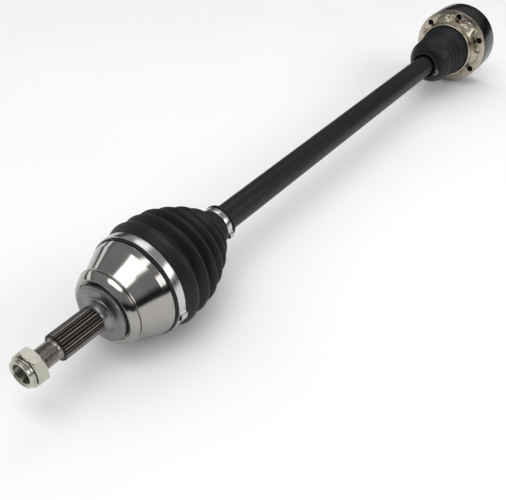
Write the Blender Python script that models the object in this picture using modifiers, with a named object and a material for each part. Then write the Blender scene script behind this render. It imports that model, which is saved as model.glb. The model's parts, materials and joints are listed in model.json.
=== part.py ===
"""A front drive half shaft (CV axle): fixed outer ball joint, bar shaft, plunging inner ball joint.

The axle lies along world X, with the wheel end at -X. Sizes are in metres. Each piece is one object
whose origin is the centre of the joint that it belongs to. Outlines are lists of (x, radius) points,
with x measured from that centre and turned about the axle's axis by a Screw modifier.
"""

import math

import bmesh
import bpy
from mathutils import Matrix, Vector

# Driving dimensions.
LENGTH = 0.829  # nut face to drive flange face
REST_HEIGHT = 0.0533  # the axle's axis above the floor: the outer boot's largest fold
NUT_REACH = 0.117  # outer joint's centre to the nut's face
FLANGE_REACH = 0.024  # inner joint's centre to the drive flange face
OUTER_CENTRE_X = NUT_REACH - LENGTH / 2
INNER_CENTRE_X = LENGTH / 2 - FLANGE_REACH
SHAFT_RADIUS = 0.0135
NECK_RADIUS = 0.012  # the bar beside each joint
SEAT_RADIUS = 0.0112  # the bar inside each inner race
GAP = 0.0003  # between pieces that touch on the real axle

BALLS = 6
OUTER_BALL_CIRCLE = 0.0282
INNER_BALL_CIRCLE = 0.0275
BALL_RADIUS = 0.0082
OUTER_TRACK_RADIUS = 0.0097  # wide enough for balls that keep to the cage at full angle
INNER_TRACK_RADIUS = 0.0091
TRACK_AZIMUTH = math.radians(8)

FLANGE_RADIUS = 0.050
BOLT_CIRCLE = 0.043
BOLT_HOLE_RADIUS = 0.0042
BOLT_AZIMUTH = math.radians(38)

SIDES = 24  # of the round pieces; a flat faces down, so the part doesn't roll
SPLINE_TEETH = 28
SPLINE_RADIUS = 0.0126
SPLINE_ROOT = 0.0116
SPLINE_END = -0.0790
STUB_CORE = 0.0108  # the stub under its splines
THREAD_RADIUS = 0.0094
CUFF_SEAT = 0.0470  # the bell's rim under the large boot's cuff
CUFF_RADIUS = 0.0484
COLLAR_RADIUS = 0.0165  # the large boot's small end
HEX_ACROSS_FLATS = 0.030


def clear_scene():
    for obj in list(bpy.data.objects):
        bpy.data.objects.remove(obj, do_unlink=True)


def new_collection(name):
    collection = bpy.data.collections.new(name)
    bpy.context.scene.collection.children.link(collection)
    return collection


def new_material(name, color, metallic, roughness):
    material = bpy.data.materials.new(name)
    material.use_nodes = True
    shader = material.node_tree.nodes["Principled BSDF"]
    shader.inputs["Base Color"].default_value = (*color, 1.0)
    shader.inputs["Metallic"].default_value = metallic
    shader.inputs["Roughness"].default_value = roughness
    return material


def body_empty(name, x):
    """The parent of a body's pieces, on its joint's axis."""
    empty = bpy.data.objects.new(name, None)
    empty.location = (x, 0.0, REST_HEIGHT)
    axle.objects.link(empty)
    return empty


def add_object(name, mesh, collection, parent, material=None):
    obj = bpy.data.objects.new(name, mesh)
    collection.objects.link(obj)
    obj.parent = parent
    if material:
        mesh.materials.append(material)
    return obj


def mesh_from(bm, name, smooth=False):
    bmesh.ops.recalc_face_normals(bm, faces=bm.faces)
    mesh = bpy.data.meshes.new(name)
    for face in bm.faces:
        face.smooth = smooth
    bm.to_mesh(mesh)
    bm.free()
    return mesh


def arc(radius, start_x, end_x, steps):
    """Points of a sphere's outline about the joint's centre, from one x to another."""
    start, end = math.acos(start_x / radius), math.acos(end_x / radius)
    angles = [start + (end - start) * i / steps for i in range(steps + 1)]
    return [(radius * math.cos(a), radius * math.sin(a)) for a in angles]


def turned(name, outline, parent, material):
    """A solid of revolution from a closed outline, given in order round it, (x, radius).

    Flats, not corners, lie at each radius, and one of them faces down.
    """
    doubled_area = 0.0
    for (x0, r0), (x1, r1) in zip(outline, outline[1:] + outline[:1]):
        doubled_area += x0 * r1 - x1 * r0
    if doubled_area < 0:
        outline = outline[::-1]
    half_side = math.pi / SIDES
    stretch = 1 / math.cos(half_side)
    bm = bmesh.new()
    points = []
    for x, r in outline:
        y, z = r * stretch * math.sin(half_side), r * stretch * math.cos(half_side)
        points.append(bm.verts.new((x, y, z)))
    on_axis = [r == 0 for _, r in outline]
    for i in range(len(points)):
        j = (i + 1) % len(points)
        if not (on_axis[i] and on_axis[j]):
            bm.edges.new((points[i], points[j]))
    mesh = bpy.data.meshes.new(name)
    bm.to_mesh(mesh)
    bm.free()
    obj = add_object(name, mesh, axle, parent, material)
    screw = obj.modifiers.new("Turn", "SCREW")
    screw.axis = "X"
    screw.steps = screw.render_steps = SIDES
    screw.use_merge_vertices = True
    screw.merge_threshold = 0.00001
    screw.use_smooth_shade = True
    return obj


def shell(inner, outer):
    """A closed outline from an inner and an outer line that run the same way."""
    return outer + inner[::-1]


def cut(obj, cutter, name, operation="DIFFERENCE"):
    boolean = obj.modifiers.new(name, "BOOLEAN")
    boolean.operation = operation
    boolean.solver = "EXACT"
    boolean.object = cutter


def add_cutter(name, bm, parent):
    obj = add_object(name, mesh_from(bm, name), cutters, parent)
    obj.hide_render = True
    obj.display_type = "WIRE"
    return obj


def azimuth_matrix(angle):
    """Turns +Y towards +Z about the axle."""
    return Matrix.Rotation(angle, 4, "X")


def azimuths(first, count=BALLS):
    return [first + 2 * math.pi * i / count for i in range(count)]


def rod_cutter(name, parent, circle, radius, start_x, end_x, first, segments=12):
    """Round rods along the axle, spaced round a circle: bolt holes and straight ball tracks."""
    bm = bmesh.new()
    for angle in azimuths(first):
        centre = azimuth_matrix(angle) @ Vector(((start_x + end_x) / 2, circle, 0))
        place = Matrix.Translation(centre) @ azimuth_matrix(angle) @ Matrix.Rotation(math.pi / 2, 4, "Y")
        bmesh.ops.create_cone(
            bm, cap_ends=True, segments=segments, radius1=radius, radius2=radius,
            depth=abs(end_x - start_x), matrix=place,
        )
    return add_cutter(name, bm, parent)


def track_cutter(name, parent, from_degrees, to_degrees):
    """Curved ball tracks: a round face spun about the outer joint's centre, once for each ball."""
    bm = bmesh.new()
    start, sweep = math.radians(from_degrees), math.radians(to_degrees - from_degrees)
    for angle in azimuths(TRACK_AZIMUTH):
        turn = azimuth_matrix(angle)
        tilt = turn @ Matrix.Rotation(-start, 4, "Z")
        place = tilt @ Matrix.Translation((0, OUTER_BALL_CIRCLE, 0)) @ Matrix.Rotation(math.pi / 2, 4, "Y")
        circle = bmesh.ops.create_circle(
            bm, cap_ends=True, segments=12, radius=OUTER_TRACK_RADIUS, matrix=place
        )
        faces = list({face for vert in circle["verts"] for face in vert.link_faces})
        bmesh.ops.spin(
            bm, geom=faces, cent=(0, 0, 0), axis=turn @ Vector((0, 0, -1)), angle=sweep,
            steps=max(3, round(abs(math.degrees(sweep)) / 11)), use_duplicate=False,
        )
    return add_cutter(name, bm, parent)


def ball_seat_cutter(name, parent, tilt_degrees):
    """Rounds off the closed end of each curved track."""
    bm = bmesh.new()
    for angle in azimuths(TRACK_AZIMUTH):
        place = azimuth_matrix(angle) @ Matrix.Rotation(math.radians(tilt_degrees), 4, "Z")
        place = place @ Matrix.Translation((0, OUTER_BALL_CIRCLE, 0))
        bmesh.ops.create_uvsphere(
            bm, u_segments=12, v_segments=6, radius=OUTER_TRACK_RADIUS, matrix=place
        )
    return add_cutter(name, bm, parent)


def window_cutter(name, parent, circle):
    """The cage's ball windows: boxes through its wall."""
    window_length, window_width, depth = 2 * (BALL_RADIUS + GAP), 0.0196, 0.014
    bm = bmesh.new()
    for angle in azimuths(TRACK_AZIMUTH):
        size = Matrix.Diagonal((window_length, depth, window_width, 1))
        place = azimuth_matrix(angle) @ Matrix.Translation((0, circle, 0)) @ size
        bmesh.ops.create_cube(bm, size=1, matrix=place)
    return add_cutter(name, bm, parent)


def balls(prefix, parent, circle):
    for number, angle in enumerate(azimuths(TRACK_AZIMUTH), 1):
        bm = bmesh.new()
        bmesh.ops.create_uvsphere(bm, u_segments=12, v_segments=8, radius=BALL_RADIUS)
        name = f"{prefix}_ball_{number}"
        ball = add_object(name, mesh_from(bm, name, True), axle, parent, ball_steel)
        ball.location = azimuth_matrix(angle) @ Vector((0, circle, 0))


def circlip(name, parent, x, thickness=0.0012):
    """A round wire clip with a gap: a square face spun most of the way round the bar."""
    inner, outer, gap = SEAT_RADIUS - 0.0006, SEAT_RADIUS + 0.0016, math.radians(50)
    bm = bmesh.new()
    corners = [(x, inner), (x + thickness, inner), (x + thickness, outer), (x, outer)]
    face = bm.faces.new([bm.verts.new((px, py, 0)) for px, py in corners])
    bmesh.ops.spin(
        bm, geom=[face], cent=(0, 0, 0), axis=(1, 0, 0), angle=2 * math.pi - gap, steps=20,
        use_duplicate=False,
    )
    return add_object(name, mesh_from(bm, name), axle, parent, spring_steel)


def ring(name, parent, material, start_x, end_x, inner, outer):
    outline = [(start_x, inner), (start_x, outer), (end_x, outer), (end_x, inner)]
    return turned(name, outline, parent, material)


def clamp(name, parent, start_x, end_x, inner, thickness, ear_azimuth, ear_height):
    """A band clamp with the pinched ear that tightens it."""
    band = ring(name, parent, clamp_steel, start_x, end_x, inner, inner + thickness)
    width = (end_x - start_x) * 0.8
    bm = bmesh.new()
    height = ear_height + thickness / 2
    place = azimuth_matrix(ear_azimuth)
    place = place @ Matrix.Translation(((start_x + end_x) / 2, inner + thickness / 2 + height / 2, 0))
    bmesh.ops.create_cube(bm, size=1, matrix=place @ Matrix.Diagonal((width, height, 0.008, 1)))
    cut(band, add_cutter(name + "_ear", bm, parent), "Ear", "UNION")
    return band


def extruded_star(name, corners, start_x, end_x, collection, parent):
    """A solid along the axle with a polygon section, corners given as (azimuth, radius)."""
    bm = bmesh.new()
    verts = [bm.verts.new(azimuth_matrix(a) @ Vector((start_x, r, 0))) for a, r in corners]
    made = bmesh.ops.extrude_face_region(bm, geom=[bm.faces.new(verts)])
    moved = [item for item in made["geom"] if isinstance(item, bmesh.types.BMVert)]
    bmesh.ops.translate(bm, vec=(end_x - start_x, 0, 0), verts=moved)
    return add_object(name, mesh_from(bm, name), collection, parent)


# Outer joint. x runs from its centre, and the wheel is at -x.

def outer_joint_housing():
    """The bell with its curved tracks, the splined stub and the thread for the nut."""
    cavity_radius, cavity_end = 0.0306, -0.0260
    outside = [
        (-0.1070, 0.0), (-0.1070, 0.0084), (-0.1060, THREAD_RADIUS), (-0.0820, THREAD_RADIUS),
        (-0.0810, STUB_CORE), (-0.0350, STUB_CORE), (-0.0330, 0.0145), (-0.0315, 0.0172),
        (-0.0315, 0.0268), (-0.0308, 0.0275), (-0.0255, 0.0276), (-0.0255, 0.0287),
        (-0.0276, 0.0290), (-0.0284, 0.0300), (-0.0274, 0.0325), (-0.0243, 0.0350),
        (-0.0206, 0.0362), (-0.0200, 0.0370), (-0.0187, 0.0371), (-0.0178, 0.0350),
        (0.0042, 0.0455), (0.0098, 0.0474), (0.0098, CUFF_SEAT), (0.0218, CUFF_SEAT),
    ]
    inside = [(0.0218, 0.0415), (0.0180, 0.0385)]
    inside += arc(cavity_radius, 0.0100, cavity_end, 7)
    inside += [(cavity_end, 0.0)]
    housing = turned("outer_joint_housing", outside + inside, outer_housing_body, machined_steel)
    tooth = 2 * math.pi / SPLINE_TEETH
    flanks = ((0.12, SPLINE_RADIUS), (0.38, SPLINE_RADIUS), (0.58, SPLINE_ROOT), (0.92, SPLINE_ROOT))
    corners = [((i + part) * tooth, radius) for i in range(SPLINE_TEETH) for part, radius in flanks]
    splines = extruded_star("stub_splines", corners, SPLINE_END, -0.0347, cutters, outer_housing_body)
    splines.hide_render = True
    splines.display_type = "WIRE"
    cut(housing, splines, "Splines", "UNION")
    cut(housing, track_cutter("housing_tracks", outer_housing_body, -24, 45), "Tracks")
    cut(housing, ball_seat_cutter("housing_track_ends", outer_housing_body, 24), "Track ends")


def outer_inner_race():
    half, bore = 0.011, SEAT_RADIUS + GAP
    outline = arc(0.0258, -half, half, 5) + [(half, bore), (-half, bore)]
    race = turned("outer_inner_race", outline, shaft_outer_end, race_steel)
    cut(race, track_cutter("race_tracks", shaft_outer_end, -38, 38), "Tracks")


def outer_cage():
    half = 0.0105
    outline = shell(arc(0.0264, -half, half, 5), arc(0.0299, -half, half, 5))
    cage = turned("outer_cage", outline, outer_cage_body, race_steel)
    cut(cage, window_cutter("outer_cage_windows", outer_cage_body, OUTER_BALL_CIRCLE), "Windows")


def bellows(start_x, start_radius, folds, end_points, wall):
    """Outer and inner lines of a boot. A fold is (crest x, crest radius, valley x, valley radius)."""
    outer = [(start_x, start_radius)]
    for crest_x, crest, valley_x, valley in folds:
        outer += [(crest_x, crest), (valley_x, valley)]
    outer += end_points
    inner = [(x, r - wall) for x, r in outer]
    return outer, inner


def outer_boot():
    """The large bellows from the bell's rim to the bar."""
    cuff_bore, bore, wall = CUFF_SEAT + GAP, SHAFT_RADIUS + GAP, 0.0020
    cuff = [(0.0103, CUFF_RADIUS), (0.0222, CUFF_RADIUS)]
    folds = [
        (0.0340, REST_HEIGHT, 0.0415, 0.0465), (0.0500, 0.0530, 0.0575, 0.0455),
        (0.0640, 0.0506, 0.0715, 0.0420), (0.0790, 0.0450, 0.0860, 0.0360),
        (0.0930, 0.0383, 0.0995, 0.0290), (0.1060, 0.0300, 0.1130, 0.0210),
    ]
    collar = [(0.1190, COLLAR_RADIUS), (0.1355, COLLAR_RADIUS)]
    outer, inner = bellows(0.0240, CUFF_RADIUS, folds, collar, wall)
    inner = [(0.0103, cuff_bore), (0.0225, cuff_bore)] + inner[:-2] + [(0.1190, bore), (0.1355, bore)]
    turned("outer_boot", shell(inner, cuff + outer), outer_cage_body, boot_rubber)


def outer_boot_clamps():
    ear_azimuth = math.radians(193)
    clamp("outer_boot_large_clamp", outer_housing_body, 0.0128, 0.0210, CUFF_RADIUS + GAP, 0.0010,
          ear_azimuth, 0.0035)
    clamp("outer_boot_small_clamp", shaft_outer_end, 0.1240, 0.1310, COLLAR_RADIUS + GAP, 0.0009,
          ear_azimuth, 0.0025)


def outer_race_retainers():
    """What holds the race on the bar: a clip outside it, a spacer ring and a dished washer inside."""
    circlip("outer_circlip", shaft_outer_end, -0.0128)
    ring("outer_thrust_ring", shaft_outer_end, spring_steel, 0.0113, 0.0130, SEAT_RADIUS + GAP, 0.0150)
    dish = [(0.0133, 0.0115), (0.0145, 0.0115), (0.0157, 0.0165), (0.0145, 0.0165)]
    turned("outer_dished_washer", dish, shaft_outer_end, spring_steel)


def axle_nut():
    """Flanged hexagon nut with the plain collar that shows past the stub's end."""
    back, shoulder, face = -0.1016, -0.1126, -NUT_REACH
    bore, collar = 0.0097, 0.0136
    corner_radius = HEX_ACROSS_FLATS / 2 / math.cos(math.pi / 6)
    corners = [(a, corner_radius) for a in azimuths(math.radians(12))]
    nut = extruded_star("axle_nut", corners, back, shoulder, axle, outer_housing_body)
    nut.data.materials.append(zinc_steel)
    step = [(shoulder - 0.0002, collar), (face + 0.0008, collar), (face, collar - 0.0008)]
    collar_solid = turned_cutter("nut_collar", step, 0.004, outer_housing_body)
    hole = [(back + 0.001, bore), (face - 0.001, bore)]
    bore_solid = turned_cutter("nut_bore", hole, 0, outer_housing_body)
    cut(nut, collar_solid, "Collar", "UNION")
    cut(nut, bore_solid, "Bore")


def turned_cutter(name, line, extra, parent):
    """A turned helper solid from its outer line; extra lengthens its first end into its neighbour."""
    first_x = line[0][0] + extra
    outline = [(first_x, 0.0), (first_x, line[0][1])] + line[1:] + [(line[-1][0], 0.0)]
    obj = turned(name, outline, parent, zinc_steel)
    axle.objects.unlink(obj)
    cutters.objects.link(obj)
    obj.hide_render = True
    obj.display_type = "WIRE"
    return obj


# The bar. x runs from the outer joint's centre here, because the bar's empty stands there.

def axle_shaft():
    inner_x = INNER_CENTRE_X - OUTER_CENTRE_X
    groove_radius = SEAT_RADIUS - 0.0009
    outer_end = [
        (-0.0150, 0.0), (-0.0150, 0.0104), (-0.0142, SEAT_RADIUS), (-0.0131, SEAT_RADIUS),
        (-0.0131, groove_radius), (-0.0113, groove_radius), (-0.0113, SEAT_RADIUS),
        (0.0160, SEAT_RADIUS), (0.0160, NECK_RADIUS), (0.0480, NECK_RADIUS), (0.0510, SHAFT_RADIUS),
    ]
    inner_end = [
        (-0.0500, SHAFT_RADIUS), (-0.0470, NECK_RADIUS), (-0.0120, NECK_RADIUS),
        (-0.0120, SEAT_RADIUS), (0.0088, SEAT_RADIUS), (0.0088, groove_radius),
        (0.0106, groove_radius), (0.0106, SEAT_RADIUS), (0.0112, SEAT_RADIUS),
        (0.0120, 0.0104), (0.0120, 0.0),
    ]
    outline = outer_end + [(inner_x + x, r) for x, r in inner_end]
    turned("axle_shaft", outline, shaft_outer_end, satin_black)


# Inner joint. x runs from its centre, and the gearbox is at +x.

def flanged_ring(name, parent, material, outline):
    """A turned piece with the six bolt holes through it."""
    piece = turned(name, outline, parent, material)
    holes = rod_cutter(name + "_holes", parent, BOLT_CIRCLE, BOLT_HOLE_RADIUS, -0.020, 0.030, BOLT_AZIMUTH)
    cut(piece, holes, "Bolt holes")
    return piece


def inner_joint_housing():
    """The thick disc whose straight tracks let the balls plunge."""
    front, rear, bore = -0.0106, FLANGE_REACH, 0.0304
    outline = [
        (front, bore), (front, FLANGE_RADIUS - 0.0008), (front + 0.0008, FLANGE_RADIUS),
        (rear - 0.0010, FLANGE_RADIUS), (rear, FLANGE_RADIUS - 0.0010), (rear, 0.0384),
        (rear - 0.0020, 0.0384), (rear - 0.0020, bore),
    ]
    housing = flanged_ring("inner_joint_housing", inner_housing_body, black_steel, outline)
    tracks = rod_cutter("housing_straight_tracks", inner_housing_body, INNER_BALL_CIRCLE,
                        INNER_TRACK_RADIUS, front - 0.002, rear + 0.002, TRACK_AZIMUTH)
    cut(housing, tracks, "Ball tracks")


def inner_boot_can():
    """The pressed steel collar that is bolted with the joint and holds the boot's large end."""
    outer = [(-0.0120, FLANGE_RADIUS), (-0.0135, FLANGE_RADIUS), (-0.0135, 0.0386), (-0.0160, 0.0380),
             (-0.0335, 0.0356), (-0.0345, 0.0350)]
    inner = [(-0.0120, 0.0372), (-0.0150, 0.0366), (-0.0330, 0.0342), (-0.0345, 0.0338)]
    flanged_ring("inner_boot_can", inner_housing_body, passivated_steel, shell(inner, outer))


def inner_gasket():
    outline = [(-0.0117, 0.0376), (-0.0117, 0.0494), (-0.0109, 0.0494), (-0.0109, 0.0376)]
    flanged_ring("inner_gasket", inner_housing_body, gasket_paper, outline)


def inner_end_cover():
    """The thin cap in the housing's back recess that keeps the grease in."""
    outline = [(0.0223, 0.0), (0.0223, 0.0381), (0.0237, 0.0381), (0.0237, 0.0)]
    turned("inner_end_cover", outline, inner_housing_body, passivated_steel)


def inner_inner_race():
    half, bore = 0.0085, SEAT_RADIUS + GAP
    outline = [(-half, 0.0225)] + arc(0.0256, -0.0072, 0.0072, 4)
    outline += [(half, 0.0225), (half, bore), (-half, bore)]
    race = turned("inner_inner_race", outline, shaft_inner_end, race_steel)
    tracks = rod_cutter("race_straight_tracks", shaft_inner_end, INNER_BALL_CIRCLE,
                        INNER_TRACK_RADIUS, -0.012, 0.012, TRACK_AZIMUTH)
    cut(race, tracks, "Ball tracks")


def inner_cage():
    half = 0.0100
    outline = shell(arc(0.0262, -half, half, 5), arc(0.0298, -half, half, 5))
    cage = turned("inner_cage", outline, inner_cage_body, race_steel)
    cut(cage, window_cutter("inner_cage_windows", inner_cage_body, INNER_BALL_CIRCLE), "Windows")


def inner_race_retainers():
    circlip("inner_circlip", shaft_inner_end, 0.0091)
    dish = [(-0.0118, 0.0115), (-0.0106, 0.0115), (-0.0090, 0.0160), (-0.0102, 0.0160)]
    turned("inner_dished_washer", dish, shaft_inner_end, spring_steel)


def inner_boot():
    """The small boot: shallow folds inside the can's lip, then a smooth cone to the bar."""
    folds = [
        (-0.0405, 0.0332, -0.0450, 0.0292), (-0.0500, 0.0326, -0.0545, 0.0285),
        (-0.0595, 0.0316, -0.0640, 0.0275), (-0.0690, 0.0303, -0.0735, 0.0265),
    ]
    cone = [(-0.0790, 0.0290), (-0.0815, 0.0286), (-0.0895, 0.0240), (-0.0920, 0.0205), (-0.0925, 0.0170),
            (-0.1010, 0.0170)]
    outer, inner = bellows(-0.0365, 0.0300, folds, cone, 0.0018)
    bore = SHAFT_RADIUS + GAP
    bead_outer = [(-0.0290, 0.0334), (-0.0350, 0.0328)]
    bead_inner = [(-0.0290, 0.0310), (-0.0350, 0.0305)]
    inner = inner[:-3] + [(-0.0905, bore), (-0.1010, bore)]
    turned("inner_boot", shell(bead_inner + inner, bead_outer + outer), inner_boot_body, boot_rubber)


def inner_boot_clamp():
    clamp("inner_boot_small_clamp", shaft_inner_end, -0.0995, -0.0940, 0.0170 + GAP, 0.0009,
          math.radians(215), 0.0022)


clear_scene()
axle = new_collection("cv_axle")
cutters = new_collection("cutters")

machined_steel = new_material("machined_steel", (0.62, 0.61, 0.60), 1.0, 0.28)
race_steel = new_material("race_steel", (0.55, 0.55, 0.56), 1.0, 0.25)
ball_steel = new_material("ball_steel", (0.75, 0.75, 0.77), 1.0, 0.08)
spring_steel = new_material("spring_steel", (0.30, 0.30, 0.31), 1.0, 0.35)
clamp_steel = new_material("clamp_steel", (0.72, 0.72, 0.73), 1.0, 0.25)
zinc_steel = new_material("zinc_steel", (0.62, 0.60, 0.48), 1.0, 0.30)
passivated_steel = new_material("passivated_steel", (0.60, 0.52, 0.33), 1.0, 0.35)
black_steel = new_material("black_steel", (0.02, 0.02, 0.02), 0.6, 0.30)
satin_black = new_material("satin_black", (0.02, 0.02, 0.02), 0.0, 0.45)
boot_rubber = new_material("boot_rubber", (0.015, 0.016, 0.017), 0.0, 0.55)
gasket_paper = new_material("gasket_paper", (0.35, 0.30, 0.22), 0.0, 0.80)

inner_housing_body = body_empty("inner_housing_body", INNER_CENTRE_X)
inner_boot_body = body_empty("inner_boot_body", INNER_CENTRE_X)
inner_cage_body = body_empty("inner_cage_body", INNER_CENTRE_X)
shaft_inner_end = body_empty("shaft_inner_end", INNER_CENTRE_X)
shaft_outer_end = body_empty("shaft_outer_end", OUTER_CENTRE_X)
outer_cage_body = body_empty("outer_cage_body", OUTER_CENTRE_X)
outer_housing_body = body_empty("outer_housing_body", OUTER_CENTRE_X)

outer_joint_housing()
outer_inner_race()
outer_cage()
balls("outer", outer_cage_body, OUTER_BALL_CIRCLE)
outer_race_retainers()
outer_boot()
outer_boot_clamps()
axle_nut()
axle_shaft()
inner_joint_housing()
inner_gasket()
inner_boot_can()
inner_end_cover()
inner_inner_race()
inner_cage()
balls("inner", inner_cage_body, INNER_BALL_CIRCLE)
inner_race_retainers()
inner_boot()
inner_boot_clamp()
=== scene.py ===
"""The looks of the CV axle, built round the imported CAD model.

The axle lies along world X with the wheel end at -X. Outlines are turned about that axis and given in
millimetres as (x, radius) or (x, radius, corner radius), with x measured from the joint's centre.
"""

import json
import math

import bmesh
import bpy
from mathutils import Matrix, Vector


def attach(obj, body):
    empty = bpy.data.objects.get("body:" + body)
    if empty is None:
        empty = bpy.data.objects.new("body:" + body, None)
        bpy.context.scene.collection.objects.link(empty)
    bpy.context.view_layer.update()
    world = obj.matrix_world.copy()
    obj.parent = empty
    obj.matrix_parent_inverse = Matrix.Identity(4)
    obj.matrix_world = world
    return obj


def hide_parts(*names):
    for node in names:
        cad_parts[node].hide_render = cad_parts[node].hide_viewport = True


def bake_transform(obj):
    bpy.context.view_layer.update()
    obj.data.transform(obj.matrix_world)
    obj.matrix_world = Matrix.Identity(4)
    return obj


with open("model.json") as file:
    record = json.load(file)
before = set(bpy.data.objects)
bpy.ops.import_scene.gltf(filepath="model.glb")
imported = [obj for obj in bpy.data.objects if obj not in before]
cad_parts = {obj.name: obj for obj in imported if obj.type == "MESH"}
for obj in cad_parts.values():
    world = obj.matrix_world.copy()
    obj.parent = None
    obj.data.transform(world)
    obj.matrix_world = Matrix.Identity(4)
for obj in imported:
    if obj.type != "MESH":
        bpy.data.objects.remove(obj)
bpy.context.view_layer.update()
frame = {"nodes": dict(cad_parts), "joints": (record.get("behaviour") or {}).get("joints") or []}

MM = 0.001
SIDES = 144  # round the large turned pieces
JOINTS = {joint["name"]: joint for joint in frame["joints"]}
OUTER = Vector(JOINTS["outer_cage_tilt"]["pos_m"])
INNER = Vector(JOINTS["inner_cage_tilt"]["pos_m"])
BALLS = 6
TRACK_AZIMUTH = math.radians(8)
BOLT_AZIMUTH = math.radians(38)
BOLT_CIRCLE = 43.0
BOLT_HOLE_RADIUS = 4.2
HEX_AZIMUTH = math.radians(12)
EAR_AZIMUTH = math.radians(193)


# Outlines

def rounded(outline, steps=4):
    """Replaces each corner of a closed outline that has a radius by an arc."""
    points = []
    count = len(outline)
    for i, corner in enumerate(outline):
        here = Vector(corner[:2])
        radius = corner[2] if len(corner) > 2 else 0
        if not radius:
            points.append(tuple(here))
            continue
        before = Vector(outline[i - 1][:2]) - here
        after = Vector(outline[(i + 1) % count][:2]) - here
        half = before.angle(after) / 2
        reach = min(radius / math.tan(half), 0.48 * before.length, 0.48 * after.length)
        middle = (before.normalized() + after.normalized()).normalized()
        centre = here + middle * (reach / math.cos(half))
        start = here + before.normalized() * reach - centre
        end = here + after.normalized() * reach - centre
        turn = start.angle(end)
        for k in range(steps + 1):
            t = k / steps
            spoke = (start * math.sin((1 - t) * turn) + end * math.sin(t * turn)) / math.sin(turn)
            points.append(tuple(centre + spoke))
    return points


def arc(radius, start_x, end_x, steps):
    """Points of a sphere's outline about the joint's centre."""
    start, end = math.acos(start_x / radius), math.acos(end_x / radius)
    angles = [start + (end - start) * i / steps for i in range(steps + 1)]
    return [(radius * math.cos(a), radius * math.sin(a)) for a in angles]


# Meshes

def add_mesh(name, bm, sharp_degrees=32):
    """A shaded object from a bmesh, with its normals facing out."""
    bmesh.ops.recalc_face_normals(bm, faces=bm.faces)
    mesh = bpy.data.meshes.new(name)
    bm.to_mesh(mesh)
    bm.free()
    mesh.shade_smooth()
    mesh.set_sharp_from_angle(angle=math.radians(sharp_degrees))
    obj = bpy.data.objects.new(name, mesh)
    bpy.context.scene.collection.objects.link(obj)
    return obj


def grid_mesh(rings):
    """Faces between rings of points, the last joined to the first. A ring of one point is a pole."""
    bm = bmesh.new()
    made = [[bm.verts.new(p) for p in ring] for ring in rings]
    for first, second in zip(made, made[1:] + made[:1]):
        count = max(len(first), len(second))
        if count == 1:
            continue
        for i in range(count):
            j = (i + 1) % count
            corners = [
                first[i % len(first)], first[j % len(first)],
                second[j % len(second)], second[i % len(second)],
            ]
            bm.faces.new(list(dict.fromkeys(corners)))
    return bm


def point(centre, x, radius, angle):
    """A place x along the axle from a joint's centre, and radius from its axis, at an angle from +Y."""
    return centre + Vector((x, radius * math.cos(angle), radius * math.sin(angle))) * MM


def circle(x, radius, centre, sides):
    """A ring of points about the axle, or its pole when the radius is nothing."""
    if radius < 1e-6:
        return [Vector((centre.x + x * MM, centre.y, centre.z))]
    return [point(centre, x, radius, 2 * math.pi * i / sides) for i in range(sides)]


def turned(name, centre, outline, sides=SIDES, sharp_degrees=32):
    points = rounded(outline)
    return add_mesh(name, grid_mesh([circle(x, r, centre, sides) for x, r in points]), sharp_degrees)


def azimuth_matrix(angle):
    """Turns +Y towards +Z about the axle."""
    return Matrix.Rotation(angle, 4, "X")


def azimuths(first, count=BALLS):
    return [first + 2 * math.pi * i / count for i in range(count)]


def apply_boolean(obj, cutter, keep_sharp=32):
    """Cuts, keeps the result as the object's mesh and removes the cutter."""
    modifier = obj.modifiers.new("Boolean", "BOOLEAN")
    modifier.operation = "DIFFERENCE"
    modifier.solver = "EXACT"
    modifier.object = cutter
    graph = bpy.context.evaluated_depsgraph_get()
    mesh = bpy.data.meshes.new_from_object(obj.evaluated_get(graph))
    obj.modifiers.clear()
    obj.data = mesh
    mesh.shade_smooth()
    mesh.set_sharp_from_angle(angle=math.radians(keep_sharp))
    bpy.data.objects.remove(cutter, do_unlink=True)
    return obj


def rods(centre, pitch_radius, radius, start_x, end_x, first, segments=32):
    """Round cutters along the axle, spaced round a circle."""
    bm = bmesh.new()
    for angle in azimuths(first):
        offset = azimuth_matrix(angle) @ Vector(((start_x + end_x) / 2, pitch_radius, 0)) * MM
        place = Matrix.Translation(centre + offset) @ Matrix.Rotation(math.pi / 2, 4, "Y")
        bmesh.ops.create_cone(
            bm, cap_ends=True, segments=segments, radius1=radius * MM, radius2=radius * MM,
            depth=abs(end_x - start_x) * MM, matrix=place,
        )
    return add_mesh("rod_cutter", bm)


def thread_rings(centre, start_x, end_x, root, crest, pitch, sides=48, steps=8):
    """Rings of a right-hand screw thread with rounded crests, running out at both ends."""
    rings = []
    rows = max(2, round((end_x - start_x) / pitch * steps))
    for row in range(rows + 1):
        x = start_x + (end_x - start_x) * row / rows
        fade = min(1.0, min(x - start_x, end_x - x) / (0.6 * pitch))
        ring = []
        for i in range(sides):
            a = 2 * math.pi * i / sides
            phase = (x / pitch + a / (2 * math.pi)) % 1.0
            height = 0.5 - 0.5 * math.cos(2 * math.pi * phase)
            r = root + (crest - root) * fade * height
            ring.append(point(centre, x, r, a))
        rings.append(ring)
    return rings


# Materials: small node groups on the Principled shader

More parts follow.
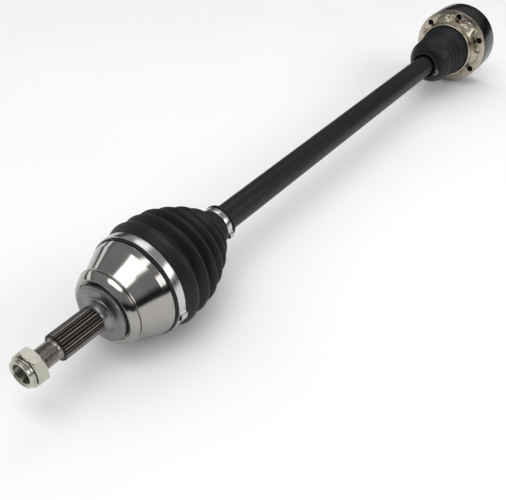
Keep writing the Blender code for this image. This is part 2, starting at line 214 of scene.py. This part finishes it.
class Paint:
    """A Principled material with helpers for the few nodes that the surfaces here need."""

    def __init__(self, name, color, metallic, roughness):
        self.material = bpy.data.materials.new(name)
        self.material.use_nodes = True
        self.nodes = self.material.node_tree.nodes
        self.links = self.material.node_tree.links
        self.shader = self.nodes["Principled BSDF"]
        self.shader.inputs["Base Color"].default_value = (*color, 1)
        self.shader.inputs["Metallic"].default_value = metallic
        self.shader.inputs["Roughness"].default_value = roughness
        self.place = self.nodes.new("ShaderNodeTexCoord").outputs["Object"]

    def noise(self, scale, detail=3.0, stretch=(1, 1, 1), roughness=0.5):
        mapping = self.nodes.new("ShaderNodeMapping")
        mapping.inputs["Scale"].default_value = stretch
        self.links.new(self.place, mapping.inputs["Vector"])
        node = self.nodes.new("ShaderNodeTexNoise")
        node.inputs["Scale"].default_value = scale
        node.inputs["Detail"].default_value = detail
        node.inputs["Roughness"].default_value = roughness
        self.links.new(mapping.outputs["Vector"], node.inputs["Vector"])
        return node.outputs["Fac"]

    def offset(self, centre):
        """The place measured from a joint's centre."""
        shift = self.nodes.new("ShaderNodeVectorMath")
        shift.operation = "SUBTRACT"
        shift.inputs[1].default_value = centre
        self.links.new(self.place, shift.inputs[0])
        return shift.outputs[0]

    def from_axis(self, centre):
        """The distance from the axle's axis, in metres."""
        flat = self.nodes.new("ShaderNodeVectorMath")
        flat.operation = "MULTIPLY"
        flat.inputs[1].default_value = (0, 1, 1)
        self.links.new(self.offset(centre), flat.inputs[0])
        reach = self.nodes.new("ShaderNodeVectorMath")
        reach.operation = "LENGTH"
        self.links.new(flat.outputs[0], reach.inputs[0])
        return reach.outputs["Value"]

    def turning_marks(self, centre, lines_per_metre):
        """Fine rings left by a lathe: one-dimensional noise of x plus the distance from the axis."""
        split = self.nodes.new("ShaderNodeSeparateXYZ")
        self.links.new(self.offset(centre), split.inputs[0])
        total = self.nodes.new("ShaderNodeMath")
        total.operation = "ADD"
        self.links.new(self.from_axis(centre), total.inputs[0])
        self.links.new(split.outputs["X"], total.inputs[1])
        node = self.nodes.new("ShaderNodeTexNoise")
        node.noise_dimensions = "1D"
        node.inputs["Scale"].default_value = lines_per_metre
        node.inputs["Detail"].default_value = 2.0
        self.links.new(total.outputs[0], node.inputs["W"])
        return node.outputs["Fac"]

    def ramp(self, source, stops):
        node = self.nodes.new("ShaderNodeValToRGB")
        elements = node.color_ramp.elements
        while len(elements) < len(stops):
            elements.new(0.5)
        for element, (position, color) in zip(elements, stops):
            element.position = position
            element.color = (*color, 1) if isinstance(color, tuple) else (color, color, color, 1)
        self.links.new(source, node.inputs["Fac"])
        return node.outputs["Color"]

    def color(self, source, stops):
        self.links.new(self.ramp(source, stops), self.shader.inputs["Base Color"])
        return self

    def roughness(self, source, stops):
        self.links.new(self.ramp(source, stops), self.shader.inputs["Roughness"])
        return self

    def bump(self, source, strength, distance):
        node = self.nodes.new("ShaderNodeBump")
        node.inputs["Strength"].default_value = strength
        node.inputs["Distance"].default_value = distance
        self.links.new(source, node.inputs["Height"])
        normal = self.shader.inputs["Normal"]
        if normal.is_linked:
            self.links.new(normal.links[0].from_socket, node.inputs["Normal"])
        self.links.new(node.outputs["Normal"], normal)
        return self


def turned_steel():
    paint = Paint("turned_steel", (0.4, 0.39, 0.38), 1.0, 0.14)
    marks = paint.turning_marks(OUTER, 2600)
    blotch = paint.noise(38, 3)
    paint.color(blotch, [(0.3, (0.33, 0.32, 0.305)), (0.7, (0.42, 0.405, 0.385))])
    paint.roughness(marks, [(0.3, 0.10), (0.75, 0.18)])
    paint.bump(marks, 0.08, 0.00004)
    return paint.material


def dark_steel():
    """The stub: a painted highlight on the crests of its teeth and painted shade in the roots between them,
    with grease patches in its roughness.
    """
    paint = Paint("spline_steel", (0.3, 0.29, 0.28), 1.0, 0.28)
    # Painted highlight and painted shade: the base colour runs from near black at the tooth roots to bright
    # at the crests.
    paint.color(paint.from_axis(OUTER), [(0.0118, (0.035, 0.03, 0.027)), (0.0125, (0.78, 0.75, 0.71))])
    grease = paint.noise(160, 4, (0.25, 1, 1))
    paint.roughness(grease, [(0.3, 0.20), (0.8, 0.40)])
    paint.bump(grease, 0.12, 0.0001)
    return paint.material


def dull_steel():
    """Forged steel, only skimmed: darker and less even than the turned bell."""
    paint = Paint("hub_steel", (0.2, 0.195, 0.19), 1.0, 0.34)
    marks = paint.turning_marks(OUTER, 1500)
    stain = paint.noise(90, 4)
    paint.color(stain, [(0.3, (0.19, 0.185, 0.18)), (0.7, (0.28, 0.275, 0.27))])
    paint.roughness(marks, [(0.3, 0.28), (0.75, 0.42)])
    paint.bump(marks, 0.12, 0.00006)
    return paint.material


def band_steel():
    paint = Paint("band_steel", (0.56, 0.56, 0.57), 1.0, 0.2)
    grain = paint.noise(900, 2, (1.0, 0.05, 0.05))
    paint.roughness(grain, [(0.3, 0.16), (0.7, 0.27)])
    paint.bump(grain, 0.06, 0.00004)
    return paint.material


def zinc_plate():
    paint = Paint("zinc_plate", (0.72, 0.71, 0.60), 1.0, 0.26)
    tint = paint.noise(70, 3)
    paint.color(tint, [(0.3, (0.42, 0.43, 0.365)), (0.55, (0.52, 0.51, 0.43)), (0.75, (0.49, 0.455, 0.41))])
    paint.roughness(tint, [(0.3, 0.2), (0.7, 0.28)])
    return paint.material


def yellow_passivate():
    paint = Paint("yellow_passivate", (0.52, 0.47, 0.36), 1.0, 0.3)
    tint = paint.noise(34, 3)
    stops = [
        (0.25, (0.35, 0.34, 0.26)), (0.42, (0.47, 0.43, 0.34)),
        (0.55, (0.53, 0.47, 0.39)), (0.70, (0.50, 0.41, 0.36)), (0.82, (0.40, 0.39, 0.31)),
    ]
    paint.color(tint, stops)
    speck = paint.noise(1200, 3)
    paint.roughness(speck, [(0.3, 0.22), (0.7, 0.34)])
    paint.bump(speck, 0.06, 0.00005)
    return paint.material


def gloss_black():
    paint = Paint("gloss_black", (0.005, 0.0045, 0.004), 0.0, 0.2)
    paint.shader.inputs["Specular IOR Level"].default_value = 0.35
    paint.shader.inputs["Coat Weight"].default_value = 0.12
    paint.shader.inputs["Coat Roughness"].default_value = 0.1
    peel = paint.noise(420, 2)
    paint.roughness(peel, [(0.3, 0.16), (0.7, 0.28)])
    paint.bump(peel, 0.12, 0.0001)
    return paint.material


def satin_paint():
    paint = Paint("satin_paint", (0.012, 0.011, 0.011), 0.0, 0.42)
    paint.shader.inputs["Specular IOR Level"].default_value = 0.26
    streak = paint.noise(60, 4, (0.15, 1, 1))
    paint.color(streak, [(0.3, (0.006, 0.0055, 0.0055)), (0.7, (0.012, 0.011, 0.0105))])
    peel = paint.noise(1100, 3)
    paint.roughness(peel, [(0.3, 0.36), (0.7, 0.50)])
    paint.bump(peel, 0.16, 0.00012)
    return paint.material


def rubber():
    paint = Paint("boot_rubber", (0.011, 0.012, 0.013), 0.0, 0.42)
    paint.shader.inputs["Specular IOR Level"].default_value = 0.28
    dust = paint.noise(26, 4)
    paint.color(dust, [(0.3, (0.0045, 0.005, 0.006)), (0.75, (0.009, 0.010, 0.0115))])
    grain = paint.noise(1900, 3)
    paint.roughness(grain, [(0.3, 0.38), (0.75, 0.54)])
    paint.bump(grain, 0.14, 0.0001)
    return paint.material


def ground_steel(name, color, roughness):
    paint = Paint(name, color, 1.0, roughness)
    grain = paint.noise(700, 3)
    paint.roughness(grain, [(0.3, roughness * 0.8), (0.7, roughness * 1.25)])
    paint.bump(grain, 0.05, 0.00004)
    return paint.material


def gasket_fibre():
    paint = Paint("gasket_fibre", (0.30, 0.26, 0.19), 0.0, 0.85)
    fibre = paint.noise(800, 4)
    paint.color(fibre, [(0.3, (0.22, 0.19, 0.13)), (0.7, (0.38, 0.33, 0.25))])
    paint.bump(fibre, 0.3, 0.0001)
    return paint.material


def dress(obj, material, body=None, replaces=()):
    """Gives a piece its material and its body, and hides the CAD nodes that it stands for."""
    obj.data.materials.clear()
    obj.data.materials.append(material)
    if replaces:
        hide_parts(*replaces)
    if body:
        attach(obj, body)
    return obj


# Outer joint

def bell_outline():
    """The bell's closed outline: turned outside, mouth, and the round cavity for the cage."""
    outside = [
        (-25.0, 0), (-25.0, 28.7), (-27.3, 28.9, 0.2), (-28.0, 31.6, 0.6), (-24.4, 34.5, 6.0),
        (-20.9, 36.2, 0.4), (-20.6, 35.2, 0.2), (-20.0, 35.2, 0.2), (-19.8, 36.9, 0.4),
        (-18.6, 37.1, 0.35), (-18.2, 34.9, 0.3), (-17.8, 34.8, 0.4), (-6.7, 40.2, 25.0), (4.0, 45.7, 0.5),
        (9.0, 47.2, 0.4), (9.8, 47.4, 0.3), (9.8, 47.0), (21.8, 47.0, 0.8),
    ]
    inside = [(21.8, 41.5, 0.8), (18.0, 38.5, 1.0)] + arc(30.6, 10, -24, 18) + [(-24, 0)]
    return outside + inside


def hub():
    """The boss that stands in the bell's front: a flat face, a small step and the fillet to the stub."""
    outline = [
        (-38.6, 0), (-38.6, 12.3), (-36.4, 12.7, 3.0), (-33.4, 15.0, 3.5),
        (-32.6, 17.2, 0.4), (-31.6, 17.7, 0.3), (-31.6, 25.2, 0.2), (-31.1, 25.7, 0.2),
        (-31.0, 26.9, 0.4), (-30.4, 27.5, 0.4), (-24.8, 27.6), (-24.8, 0),
    ]
    return turned("outer_joint_hub", OUTER, outline)


def track_cutters():
    """Round tracks about the joint's centre, closed by a ball's shape at the wheel end."""
    radius, pitch_radius = 9.7 * MM, 28.2 * MM
    closed_end, sweep, steps = math.radians(24), math.radians(69), 16
    bm = bmesh.new()
    for angle in azimuths(TRACK_AZIMUTH):
        turn = Matrix.Translation(OUTER) @ azimuth_matrix(angle)
        tilt = turn @ Matrix.Rotation(closed_end, 4, "Z")
        place = tilt @ Matrix.Translation((0, pitch_radius, 0)) @ Matrix.Rotation(math.pi / 2, 4, "Y")
        made = bmesh.ops.create_circle(bm, cap_ends=True, segments=24, radius=radius, matrix=place)
        faces = list({face for vert in made["verts"] for face in vert.link_faces})
        bmesh.ops.spin(
            bm, geom=faces, cent=OUTER, axis=turn.to_3x3() @ Vector((0, 0, -1)), angle=sweep,
            steps=steps, use_duplicate=False,
        )
    tubes = add_mesh("track_cutter", bm)
    bm = bmesh.new()
    for angle in azimuths(TRACK_AZIMUTH):
        place = Matrix.Translation(OUTER) @ azimuth_matrix(angle) @ Matrix.Rotation(closed_end, 4, "Z")
        place = place @ Matrix.Translation((0, pitch_radius, 0))
        bmesh.ops.create_uvsphere(bm, u_segments=24, v_segments=12, radius=radius, matrix=place)
    return tubes, add_mesh("track_end_cutter", bm)


def spline_rings(start_x, end_x, teeth=28, crest=12.6, root=11.2):
    """Rings of the splined stub: rounded teeth, chamfered at the thread, whose gaps run out at the bell."""
    profile = [0.0, 0.06, 0.5, 0.9, 1.0, 0.9, 0.5, 0.06]
    per_tooth = len(profile)
    stations = [
        (start_x, 1.0), (start_x + 0.4, 1.0), (start_x + 1.4, 1.0), (end_x - 6.0, 1.0),
        (end_x - 3.5, 0.8), (end_x - 1.2, 0.3), (end_x, 0.0),
    ]
    rings = []
    for x, depth in stations:
        ring = []
        inset = 0.9 if x == start_x else 0.0
        for i in range(teeth * per_tooth):
            a = 2 * math.pi * i / (teeth * per_tooth)
            r = crest - inset - (crest - root) * (1 - profile[i % per_tooth]) * depth
            ring.append(point(OUTER, x, r, a))
        rings.append(ring)
    return rings


def splined_stub():
    """Splines between the bell and the thread, as one closed piece."""
    rings = spline_rings(-81.0, -33.0)
    axis = [OUTER + Vector((x, 0, 0)) * MM for x in (-81.0, -32.0)]
    bm = grid_mesh([[axis[0]]] + rings + [[axis[1]]])
    return add_mesh("splined_stub", bm, 28)


def stub_thread():
    rings = [[OUTER + Vector((-107, 0, 0)) * MM], circle(-107, 8.2, OUTER, 64)]
    rings += thread_rings(OUTER, -106.2, -83.5, 8.55, 9.55, 1.5, 64)
    rings += [circle(-82.6, 8.8, OUTER, 64), circle(-81.4, 8.8, OUTER, 64), circle(-80.2, 10.6, OUTER, 64)]
    rings += [circle(-79.0, 10.6, OUTER, 64), [OUTER + Vector((-79.0, 0, 0)) * MM]]
    return add_mesh("stub_thread", grid_mesh(rings), 40)


def hexagon(angle, across_flats):
    """Radius of a hexagon at an angle from one of its corners."""
    from_flat = (angle + math.pi / 6) % (math.pi / 3) - math.pi / 6
    return across_flats / 2 / math.cos(math.pi / 6 - abs(from_flat))


def axle_nut():
    """Hexagon with chamfered corners, a neck, a stepped collar and a thread through."""
    back, shoulder, face = -101.6, -111.9, -117.0
    sides, across, bore, thread = 144, 30.0, 9.6, 10.5
    chamfers = [(0.0, 14.3), (0.0, 14.9), (0.35, 15.5), (0.75, 16.2), (1.15, 16.9), (1.5, 17.4)]
    outside = [(back - depth, limit) for depth, limit in chamfers]
    outside += [(shoulder + depth, limit) for depth, limit in reversed(chamfers)]
    outside += [
        (shoulder, 13.2), (shoulder - 0.15, 12.7), (shoulder - 0.7, 12.6), (shoulder - 0.8, 13.5),
        (shoulder - 1.1, 13.75), (shoulder - 2.1, 13.75), (shoulder - 2.4, 13.5), (shoulder - 2.5, 12.9),
        (shoulder - 2.7, 12.75), (face + 0.5, 12.7), (face + 0.1, 12.5), (face, 12.1), (face, 11.1),
        (face + 0.15, 10.8), (face + 0.9, 10.2),
    ]
    rings = []
    for x, limit in outside:
        ring = []
        for i in range(sides):
            a = 2 * math.pi * i / sides
            r = min(limit, hexagon(a, across))
            ring.append(point(OUTER, x, r, a + HEX_AZIMUTH))
        rings.append(ring)
    for ring in thread_rings(OUTER, face + 1.0, back - 0.6, bore, thread, 1.5, sides):
        rings.append(ring[2:] + ring[:2])
    rings.append(circle(back, 10.6, OUTER, sides))
    return add_mesh("axle_nut_hexagon", grid_mesh(rings), 24)


def band_clamp(name, centre, start_x, end_x, inner, thickness, ear_height, ear_width, azimuth, sides=SIDES):
    """A band and the omega-shaped ear that was pinched to tighten it."""
    outline = [
        (start_x, inner), (start_x, inner + thickness, 0.35),
        (end_x, inner + thickness, 0.35), (end_x, inner),
    ]
    band = turned(name, centre, outline, sides)
    width = (end_x - start_x) * 0.86
    middle_x = (start_x + end_x) / 2
    top = inner + thickness
    half, wall = ear_width / 2, thickness * 0.85
    legs = [(-1.5, 0.0), (-1.12, 0.12), (-0.62, 0.5), (-0.74, 0.86), (-0.45, 1.0)]
    legs = [(half * x, h) for x, h in legs]
    legs += [(-x, h) for x, h in reversed(legs)]
    path = [(side, top - 0.15 + height * ear_height) for side, height in legs]
    bm = bmesh.new()
    rings = []
    for side, r in path:
        angle = azimuth + side / (top + 1)
        outer_r, inner_r = r + wall / 2, r - wall / 2
        ring = []
        for side_x, start_r, end_r in ((-width / 2, inner_r, outer_r), (width / 2, outer_r, inner_r)):
            ring.append(point(centre, middle_x + side_x, start_r, angle))
            ring.append(point(centre, middle_x + side_x, end_r, angle))
        rings.append(ring)
    first = [bm.verts.new(p) for p in rings[0]]
    previous = first
    for ring in rings[1:]:
        current = [bm.verts.new(p) for p in ring]
        for i in range(4):
            j = (i + 1) % 4
            bm.faces.new((previous[i], previous[j], current[j], current[i]))
        previous = current
    bm.faces.new(first)
    bm.faces.new(previous)
    ear = add_mesh(name + "_ear", bm, 40)
    bevel = ear.modifiers.new("Edges", "BEVEL")
    bevel.width = 0.25 * MM
    bevel.segments = 2
    return band, ear


def fold_line(start, folds, end, bulge, crest, valley):
    """The outer line of a boot's folds, each (crest x, crest radius, valley x, valley radius).

    The flank before a crest bulges a little, and the crests are blunter than the valleys.
    """
    line = list(start)
    for crest_x, crest_radius, valley_x, valley_radius in folds:
        x, radius = line[-1][:2]
        line.append((x * 0.45 + crest_x * 0.55, radius * 0.45 + crest_radius * 0.55 + bulge, 12.0))
        line.append((crest_x, crest_radius + 0.25 * crest, crest))
        line.append((valley_x, valley_radius, valley))
    return line + list(end)


def boot_segments(name, centre, outline, inner_radius, seams, sides=SIDES):
    """A bellows cut into closed segments at the crests nearest the seams.

    Neighbours share the ring at a seam.
    Returns the segments in order and the x of each seam.
    """
    line = open_line(outline)
    cuts = []
    for seam in seams:
        near = [i for i, (x, _) in enumerate(line) if abs(x - seam) < 3.0]
        cuts.append(max(near, key=lambda i: line[i][1]))
    ends = [0] + cuts + [len(line) - 1]
    segments = []
    for number, (start, end) in enumerate(zip(ends, ends[1:]), 1):
        outer = line[start:end + 1]
        inner = [(x, inner_radius(x, r)) for x, r in outer]
        rings = [circle(x, r, centre, sides) for x, r in outer + inner[::-1]]
        segments.append(add_mesh(f"{name}_{number}", grid_mesh(rings), 60))
    return segments, [line[i][0] for i in cuts]


def open_line(outline):
    """Rounds an open line's corners, keeping its ends."""
    closing = [(outline[-1][0], 0), (outline[0][0], 0)]
    return rounded(outline + closing, 6)[:-2]


def outer_boot():
    """The large bellows, from its cuff on the bell to its collar on the bar."""
    cuff = [(10.3, 47.3), (10.2, 48.3, 0.4), (11.8, 48.4), (21.6, 48.4), (22.6, 48.3, 0.5), (24.6, 47.4, 0.8)]
    folds = [
        (35.0, 52.9, 42.6, 43.6), (50.8, 52.2, 58.2, 41.8), (64.8, 50.2, 72.0, 38.2),
        (79.6, 44.6, 86.6, 32.2), (94.0, 37.6, 100.2, 25.6), (106.4, 29.2, 112.8, 18.2),
    ]
    collar = [
        (117.0, 17.4, 1.2), (119.4, 18.4, 0.8), (122.6, 18.4, 0.6), (123.4, 16.5, 0.5), (131.6, 16.5, 0.5),
        (132.4, 18.2, 0.7), (134.6, 18.2, 0.8), (135.5, 17.0, 0.4), (135.5, 14.0),
    ]
    outline = fold_line(cuff, folds, collar, 1.3, 3.2, 1.2)

    def inner(x, radius):
        return max(47.25, radius - 1.2) if x < 22.6 else max(13.8, radius - 1.4)

    return boot_segments("outer_boot", OUTER, outline, inner, [50.8])


def shaft_bar():
    """The bar from one inner race to the other."""
    length = (INNER - OUTER).x / MM
    left = [(-15, 0), (-15, 10.4), (-14.2, 11.2), (16, 11.2), (16, 12, 0.5), (48, 12, 1), (52, 13.5, 2)]
    right = [(length - 51, 13.5, 2), (length - 47, 12, 1), (length - 12, 12, 0.5), (length - 12, 11.2),
             (length + 11.2, 11.2), (length + 12, 10.4), (length + 12, 0)]
    return turned("shaft_bar", OUTER, left + right, 96)


# Inner joint

def inner_boot():
    """The small bellows, from its bead in the can to its collar on the bar."""
    outline = [
        (-29.0, 31.4), (-29.0, 33.4, 0.6), (-35.0, 33.4, 0.8), (-37.0, 30.4, 0.8), (-40.8, 33.6, 1.7),
        (-45.2, 28.4, 1.0), (-50.0, 33.0, 1.7), (-54.6, 26.2, 1.0), (-59.5, 32.0, 1.7), (-64.1, 25.4, 1.0),
        (-69.0, 30.7, 1.7), (-73.6, 24.8, 1.0), (-78.4, 29.6, 1.6), (-81.8, 28.7, 2.0), (-89.6, 23.8, 4.0),
        (-92.2, 19.8, 1.6), (-92.6, 17.6, 0.6), (-93.6, 17.0, 0.3), (-99.8, 17.0, 0.3), (-100.2, 17.7, 0.5),
        (-101.0, 17.4, 0.4), (-101.0, 14.0),
    ]

    def inner(x, radius):
        return max(13.8, radius - 1.3)

    return boot_segments("inner_boot", INNER, outline, inner, [-40.8, -50.0])


def pocket(azimuth):
    """1 at a bolt, 0 between two bolts, and smooth from one to the other."""
    spacing = 2 * math.pi / BALLS
    away = abs((azimuth - BOLT_AZIMUTH + spacing / 2) % spacing - spacing / 2)
    t = min(1.0, max(0.0, (away - math.radians(7)) / math.radians(18)))
    return 1 - t * t * (3 - 2 * t)


def lobed(rows, centre, sides):
    """Rings whose radius is the first at a bolt and the second between bolts."""
    rings = []
    for x, at_bolt, between in rows:
        ring = []
        for i in range(sides):
            a = 2 * math.pi * i / sides
            share = pocket(a)
            r = at_bolt * share + between * (1 - share)
            ring.append(point(centre, x, r, a))
        rings.append(ring)
    return rings


def boot_can():
    """The pressed collar: a bolted flange, a wall pushed in at each bolt, and a rolled lip.

    Each row is x, the radius at a bolt and the radius between two bolts.
    """
    rows = [
        (-12.0, 49.6, 49.6), (-12.3, 49.95, 49.95), (-13.2, 49.95, 49.95), (-13.5, 49.6, 49.6),
        (-13.5, 38.7, 45.2), (-13.9, 38.6, 44.4), (-14.6, 38.5, 43.7), (-15.8, 38.4, 43.2),
        (-18.0, 38.3, 42.6), (-19.8, 38.1, 41.6), (-21.4, 37.8, 40.2), (-22.8, 37.5, 38.7),
        (-24.4, 37.2, 37.7), (-27.0, 36.8, 37.0), (-31.0, 36.4, 36.4), (-32.4, 36.5, 36.5),
        (-33.4, 36.6, 36.6), (-34.2, 36.2, 36.2), (-34.5, 35.5, 35.5), (-34.4, 34.6, 34.6),
        (-33.8, 34.0, 34.0), (-33.0, 34.4, 34.4), (-28.0, 35.3, 35.3), (-24.0, 35.7, 36.2),
        (-22.2, 36.2, 37.4), (-19.8, 36.6, 40.3), (-17.9, 36.9, 41.3), (-15.6, 37.2, 41.9),
        (-13.2, 37.5, 42.7), (-12.0, 37.6, 43.6),
    ]
    can = add_mesh("inner_boot_can_shell", grid_mesh(lobed(rows, INNER, 180)), 50)
    holes = rods(INNER, BOLT_CIRCLE, BOLT_HOLE_RADIUS, -16, -10, BOLT_AZIMUTH)
    return apply_boolean(can, holes, keep_sharp=50)


def gasket():
    outline = [(-11.7, 37.9), (-11.7, 49.5), (-10.9, 49.5), (-10.9, 37.9)]
    ring = turned("inner_gasket_ring", INNER, outline, 144)
    return apply_boolean(ring, rods(INNER, BOLT_CIRCLE, BOLT_HOLE_RADIUS, -14, -8, BOLT_AZIMUTH))


def joint_disc():
    """The thick disc: chamfered rims, bolt holes through, straight tracks, and a recess for its cover."""
    outline = [
        (-10.6, 30.6), (-10.6, 49.9, 0.9), (24.0, 49.4, 2.6), (24.0, 41.0, 0.4), (23.6, 40.6), (23.6, 38.4),
        (22.0, 38.4), (22.0, 30.6),
    ]
    disc = turned("joint_disc", INNER, outline, 144)
    apply_boolean(disc, rods(INNER, BOLT_CIRCLE, BOLT_HOLE_RADIUS, -12, 26, BOLT_AZIMUTH))
    return apply_boolean(disc, rods(INNER, 27.5, 9.1, -12, 26, TRACK_AZIMUTH, 24))


def end_cover():
    """The pressed cap in the recess: a flat rim, a step down and a shallow dish."""
    outline = [
        (23.7, 0), (23.6, 12.0, 6.0), (22.9, 27.0, 5.0), (22.9, 31.0, 0.8), (23.7, 32.4, 0.8),
        (23.7, 38.0, 0.5), (22.4, 38.0, 0.3), (22.4, 32.0, 0.6), (22.3, 0),
    ]
    return turned("joint_end_cover", INNER, outline, 128)


def bell():
    housing = turned("outer_joint_bell", OUTER, bell_outline())
    for cutter in track_cutters():
        apply_boolean(housing, cutter)
    return housing


# Everything in its place

OUTER_END = "outer_housing"
INNER_END = "inner_housing"

black_gloss = gloss_black()
black_satin = satin_paint()
boot_rubber = rubber()
steel = turned_steel()
spline_steel = dark_steel()
hub_steel = dull_steel()
band = band_steel()
zinc = zinc_plate()
passivate = yellow_passivate()
race_steel = ground_steel("race_steel", (0.50, 0.49, 0.48), 0.3)
ball_steel = ground_steel("ball_steel", (0.74, 0.74, 0.75), 0.08)
spring_steel = ground_steel("spring_steel", (0.30, 0.31, 0.34), 0.3)
thread_steel = ground_steel("thread_steel", (0.34, 0.32, 0.30), 0.28)
dark_band = ground_steel("dark_band", (0.05, 0.05, 0.055), 0.36)
fibre = gasket_fibre()

dress(bell(), steel, OUTER_END, ["outer_joint_housing"])
dress(hub(), hub_steel, OUTER_END, ["outer_joint_housing"])
dress(splined_stub(), spline_steel, OUTER_END, ["outer_joint_housing"])
dress(stub_thread(), thread_steel, OUTER_END, ["outer_joint_housing"])
dress(axle_nut(), zinc, OUTER_END, ["axle_nut"])

for piece in band_clamp("large_clamp", OUTER, 12.8, 21.0, 48.6, 1.0, 2.9, 9.0, EAR_AZIMUTH):
    dress(piece, band, OUTER_END, ["outer_boot_large_clamp"])
for piece in band_clamp("outer_small_clamp", OUTER, 124.2, 130.8, 16.7, 0.9, 2.8, 7.0, EAR_AZIMUTH, 96):
    dress(piece, band, "shaft", ["outer_boot_small_clamp"])
band_and_ear = (dark_band, band)
pieces = band_clamp("inner_small_clamp", INNER, -99.4, -94.1, 17.2, 0.9, 2.4, 6.0, math.radians(200), 96)
for piece, material in zip(pieces, band_and_ear):
    dress(piece, material, "shaft", ["inner_boot_small_clamp"])

segments, seams = outer_boot()
links = [("outer_housing", "outer_cage", 24.0, seams[0]), ("outer_cage", "shaft", seams[0], 108.0)]
for piece, (first, second, start, end) in zip(segments, links):
    dress(piece, boot_rubber, None, ["outer_boot"])
    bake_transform(piece)

segments, seams = inner_boot()
links = [
    ("inner_housing", "inner_boot_carriage", -35.0, seams[0]),
    ("inner_boot_carriage", "inner_cage", seams[0], seams[1]), ("inner_cage", "shaft", seams[1], -69.0),
]
for piece, (first, second, start, end) in zip(segments, links):
    dress(piece, boot_rubber, None, ["inner_boot"])
    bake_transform(piece)

dress(shaft_bar(), black_satin, "shaft", ["axle_shaft"])
dress(joint_disc(), black_gloss, INNER_END, ["inner_joint_housing"])
dress(boot_can(), passivate, INNER_END, ["inner_boot_can"])
dress(gasket(), fibre, INNER_END, ["inner_gasket"])
dress(end_cover(), passivate, INNER_END, ["inner_end_cover"])

# The hidden CAD pieces are kept as they are, and only dressed.
KEPT = {
    "ball": (ball_steel, "ball_steel"),
    "race": (race_steel, "race_steel"),
    "cage": (race_steel, "race_steel"),
}
for name, node in frame["nodes"].items():
    if node.hide_render:
        continue
    kind = next((word for word in KEPT if word in name), None)
    material, slot = KEPT[kind] if kind else (spring_steel, "spring_steel")
    dress(node, material, None)
    node.data.shade_smooth()


# Studio

FLOOR_REACH = 14
WALL_RADIUS = 13
WALL_HEIGHT = 16


def add_floor():
    bm = bmesh.new()
    bmesh.ops.create_grid(bm, x_segments=2, y_segments=2, size=FLOOR_REACH)
    floor = add_mesh("studio_floor", bm)
    floor.location.z = -0.0005
    paint = Paint("studio_floor", (0.80, 0.80, 0.80), 0.0, 0.9)
    mottle = paint.noise(3, 2)
    paint.color(mottle, [(0.3, (0.79, 0.79, 0.79)), (0.7, (0.81, 0.81, 0.81))])
    floor.data.materials.append(paint.material)


def add_backdrop():
    """A pale wall far behind the floor, for the camera only: the metal still reflects the dim room."""
    bm = bmesh.new()
    bmesh.ops.create_cone(
        bm, cap_ends=False, segments=96, radius1=WALL_RADIUS, radius2=WALL_RADIUS, depth=WALL_HEIGHT,
    )
    wall = add_mesh("backdrop", bm)
    paint = Paint("backdrop", (0, 0, 0), 0.0, 1.0)
    paint.shader.inputs["Emission Color"].default_value = (1, 1, 1, 1)
    paint.shader.inputs["Emission Strength"].default_value = 0.62
    wall.data.materials.append(paint.material)
    wall.visible_diffuse = wall.visible_glossy = wall.visible_shadow = False


def softbox(name, target, direction, distance, size, radiance):
    """A lamp panel that faces the target from that direction, as bright as radiance says."""
    direction = Vector(direction).normalized()
    light = bpy.data.lights.new(name, "AREA")
    light.shape = "RECTANGLE"
    light.size, light.size_y = size
    light.energy = radiance * math.pi * size[0] * size[1]
    obj = bpy.data.objects.new(name, light)
    obj.location = Vector(target) + direction * distance
    obj.rotation_euler = (-direction).to_track_quat("-Z", "Y").to_euler()
    bpy.context.scene.collection.objects.link(obj)
    return obj


def add_camera():
    """Looks down along the axle from beyond its wheel end, placed from the inner flange's front."""
    azimuth, down = math.radians(-54.6155), math.radians(36.8185)
    forward = Vector((
        -math.sin(azimuth) * math.cos(down), math.cos(azimuth) * math.cos(down), -math.sin(down),
    ))
    right = Vector((math.cos(azimuth), math.sin(azimuth), 0))
    up = right.cross(forward)
    flange = INNER + Vector((-12 * MM, 0, 0))
    data = bpy.data.cameras.new("camera")
    data.lens = 55.53
    data.sensor_width = 36
    data.clip_end = 60
    camera = bpy.data.objects.new("camera", data)
    aside, above, back = 0.2818, 0.2919, 1.1123
    camera.location = flange - aside * right - above * up - back * forward
    camera.rotation_euler = (math.pi / 2 - down, 0, azimuth)
    bpy.context.scene.collection.objects.link(camera)
    bpy.context.scene.camera = camera


def add_world():
    """A dim room, darkest near the horizon, so that polished metal shows the lamps and not an even white."""
    world = bpy.data.worlds.new("studio")
    world.use_nodes = True
    nodes, links = world.node_tree.nodes, world.node_tree.links
    place = nodes.new("ShaderNodeTexCoord")
    split = nodes.new("ShaderNodeSeparateXYZ")
    ramp = nodes.new("ShaderNodeValToRGB")
    links.new(place.outputs["Generated"], split.inputs[0])
    links.new(split.outputs["Z"], ramp.inputs["Fac"])
    links.new(ramp.outputs["Color"], nodes["Background"].inputs["Color"])
    ramp.color_ramp.elements[0].position = 0.24
    ramp.color_ramp.elements[0].color = (0.012, 0.012, 0.012, 1)
    ramp.color_ramp.elements[1].position = 0.45
    ramp.color_ramp.elements[1].color = (0.34, 0.34, 0.35, 1)
    bpy.context.scene.world = world


add_camera()
add_floor()
add_backdrop()
add_world()
bpy.context.scene.view_settings.view_transform = "Standard"
softbox("overhead", (-0.15, 0, 0.05), (-0.30, -0.10, 0.95), 1.7, (1.25, 0.8), 2.9)
softbox("right", (-0.1, 0, 0.05), (0.25, -0.82, 0.50), 1.9, (2.0, 0.75), 2.2)
softbox("left", (-0.1, 0, 0.05), (-0.1, 0.97, 0.22), 2.0, (2.2, 0.35), 1.5)
softbox("far", (-0.4, 0, 0.05), (0.56, 0.25, 0.79), 2.0, (0.9, 0.9), 1.2)
fill = softbox("fill", (0, 0, 0), (0, 0, 1), 3.0, (14.0, 14.0), 0.58)
fill.visible_glossy = False  # it only lifts the floor and the shadows
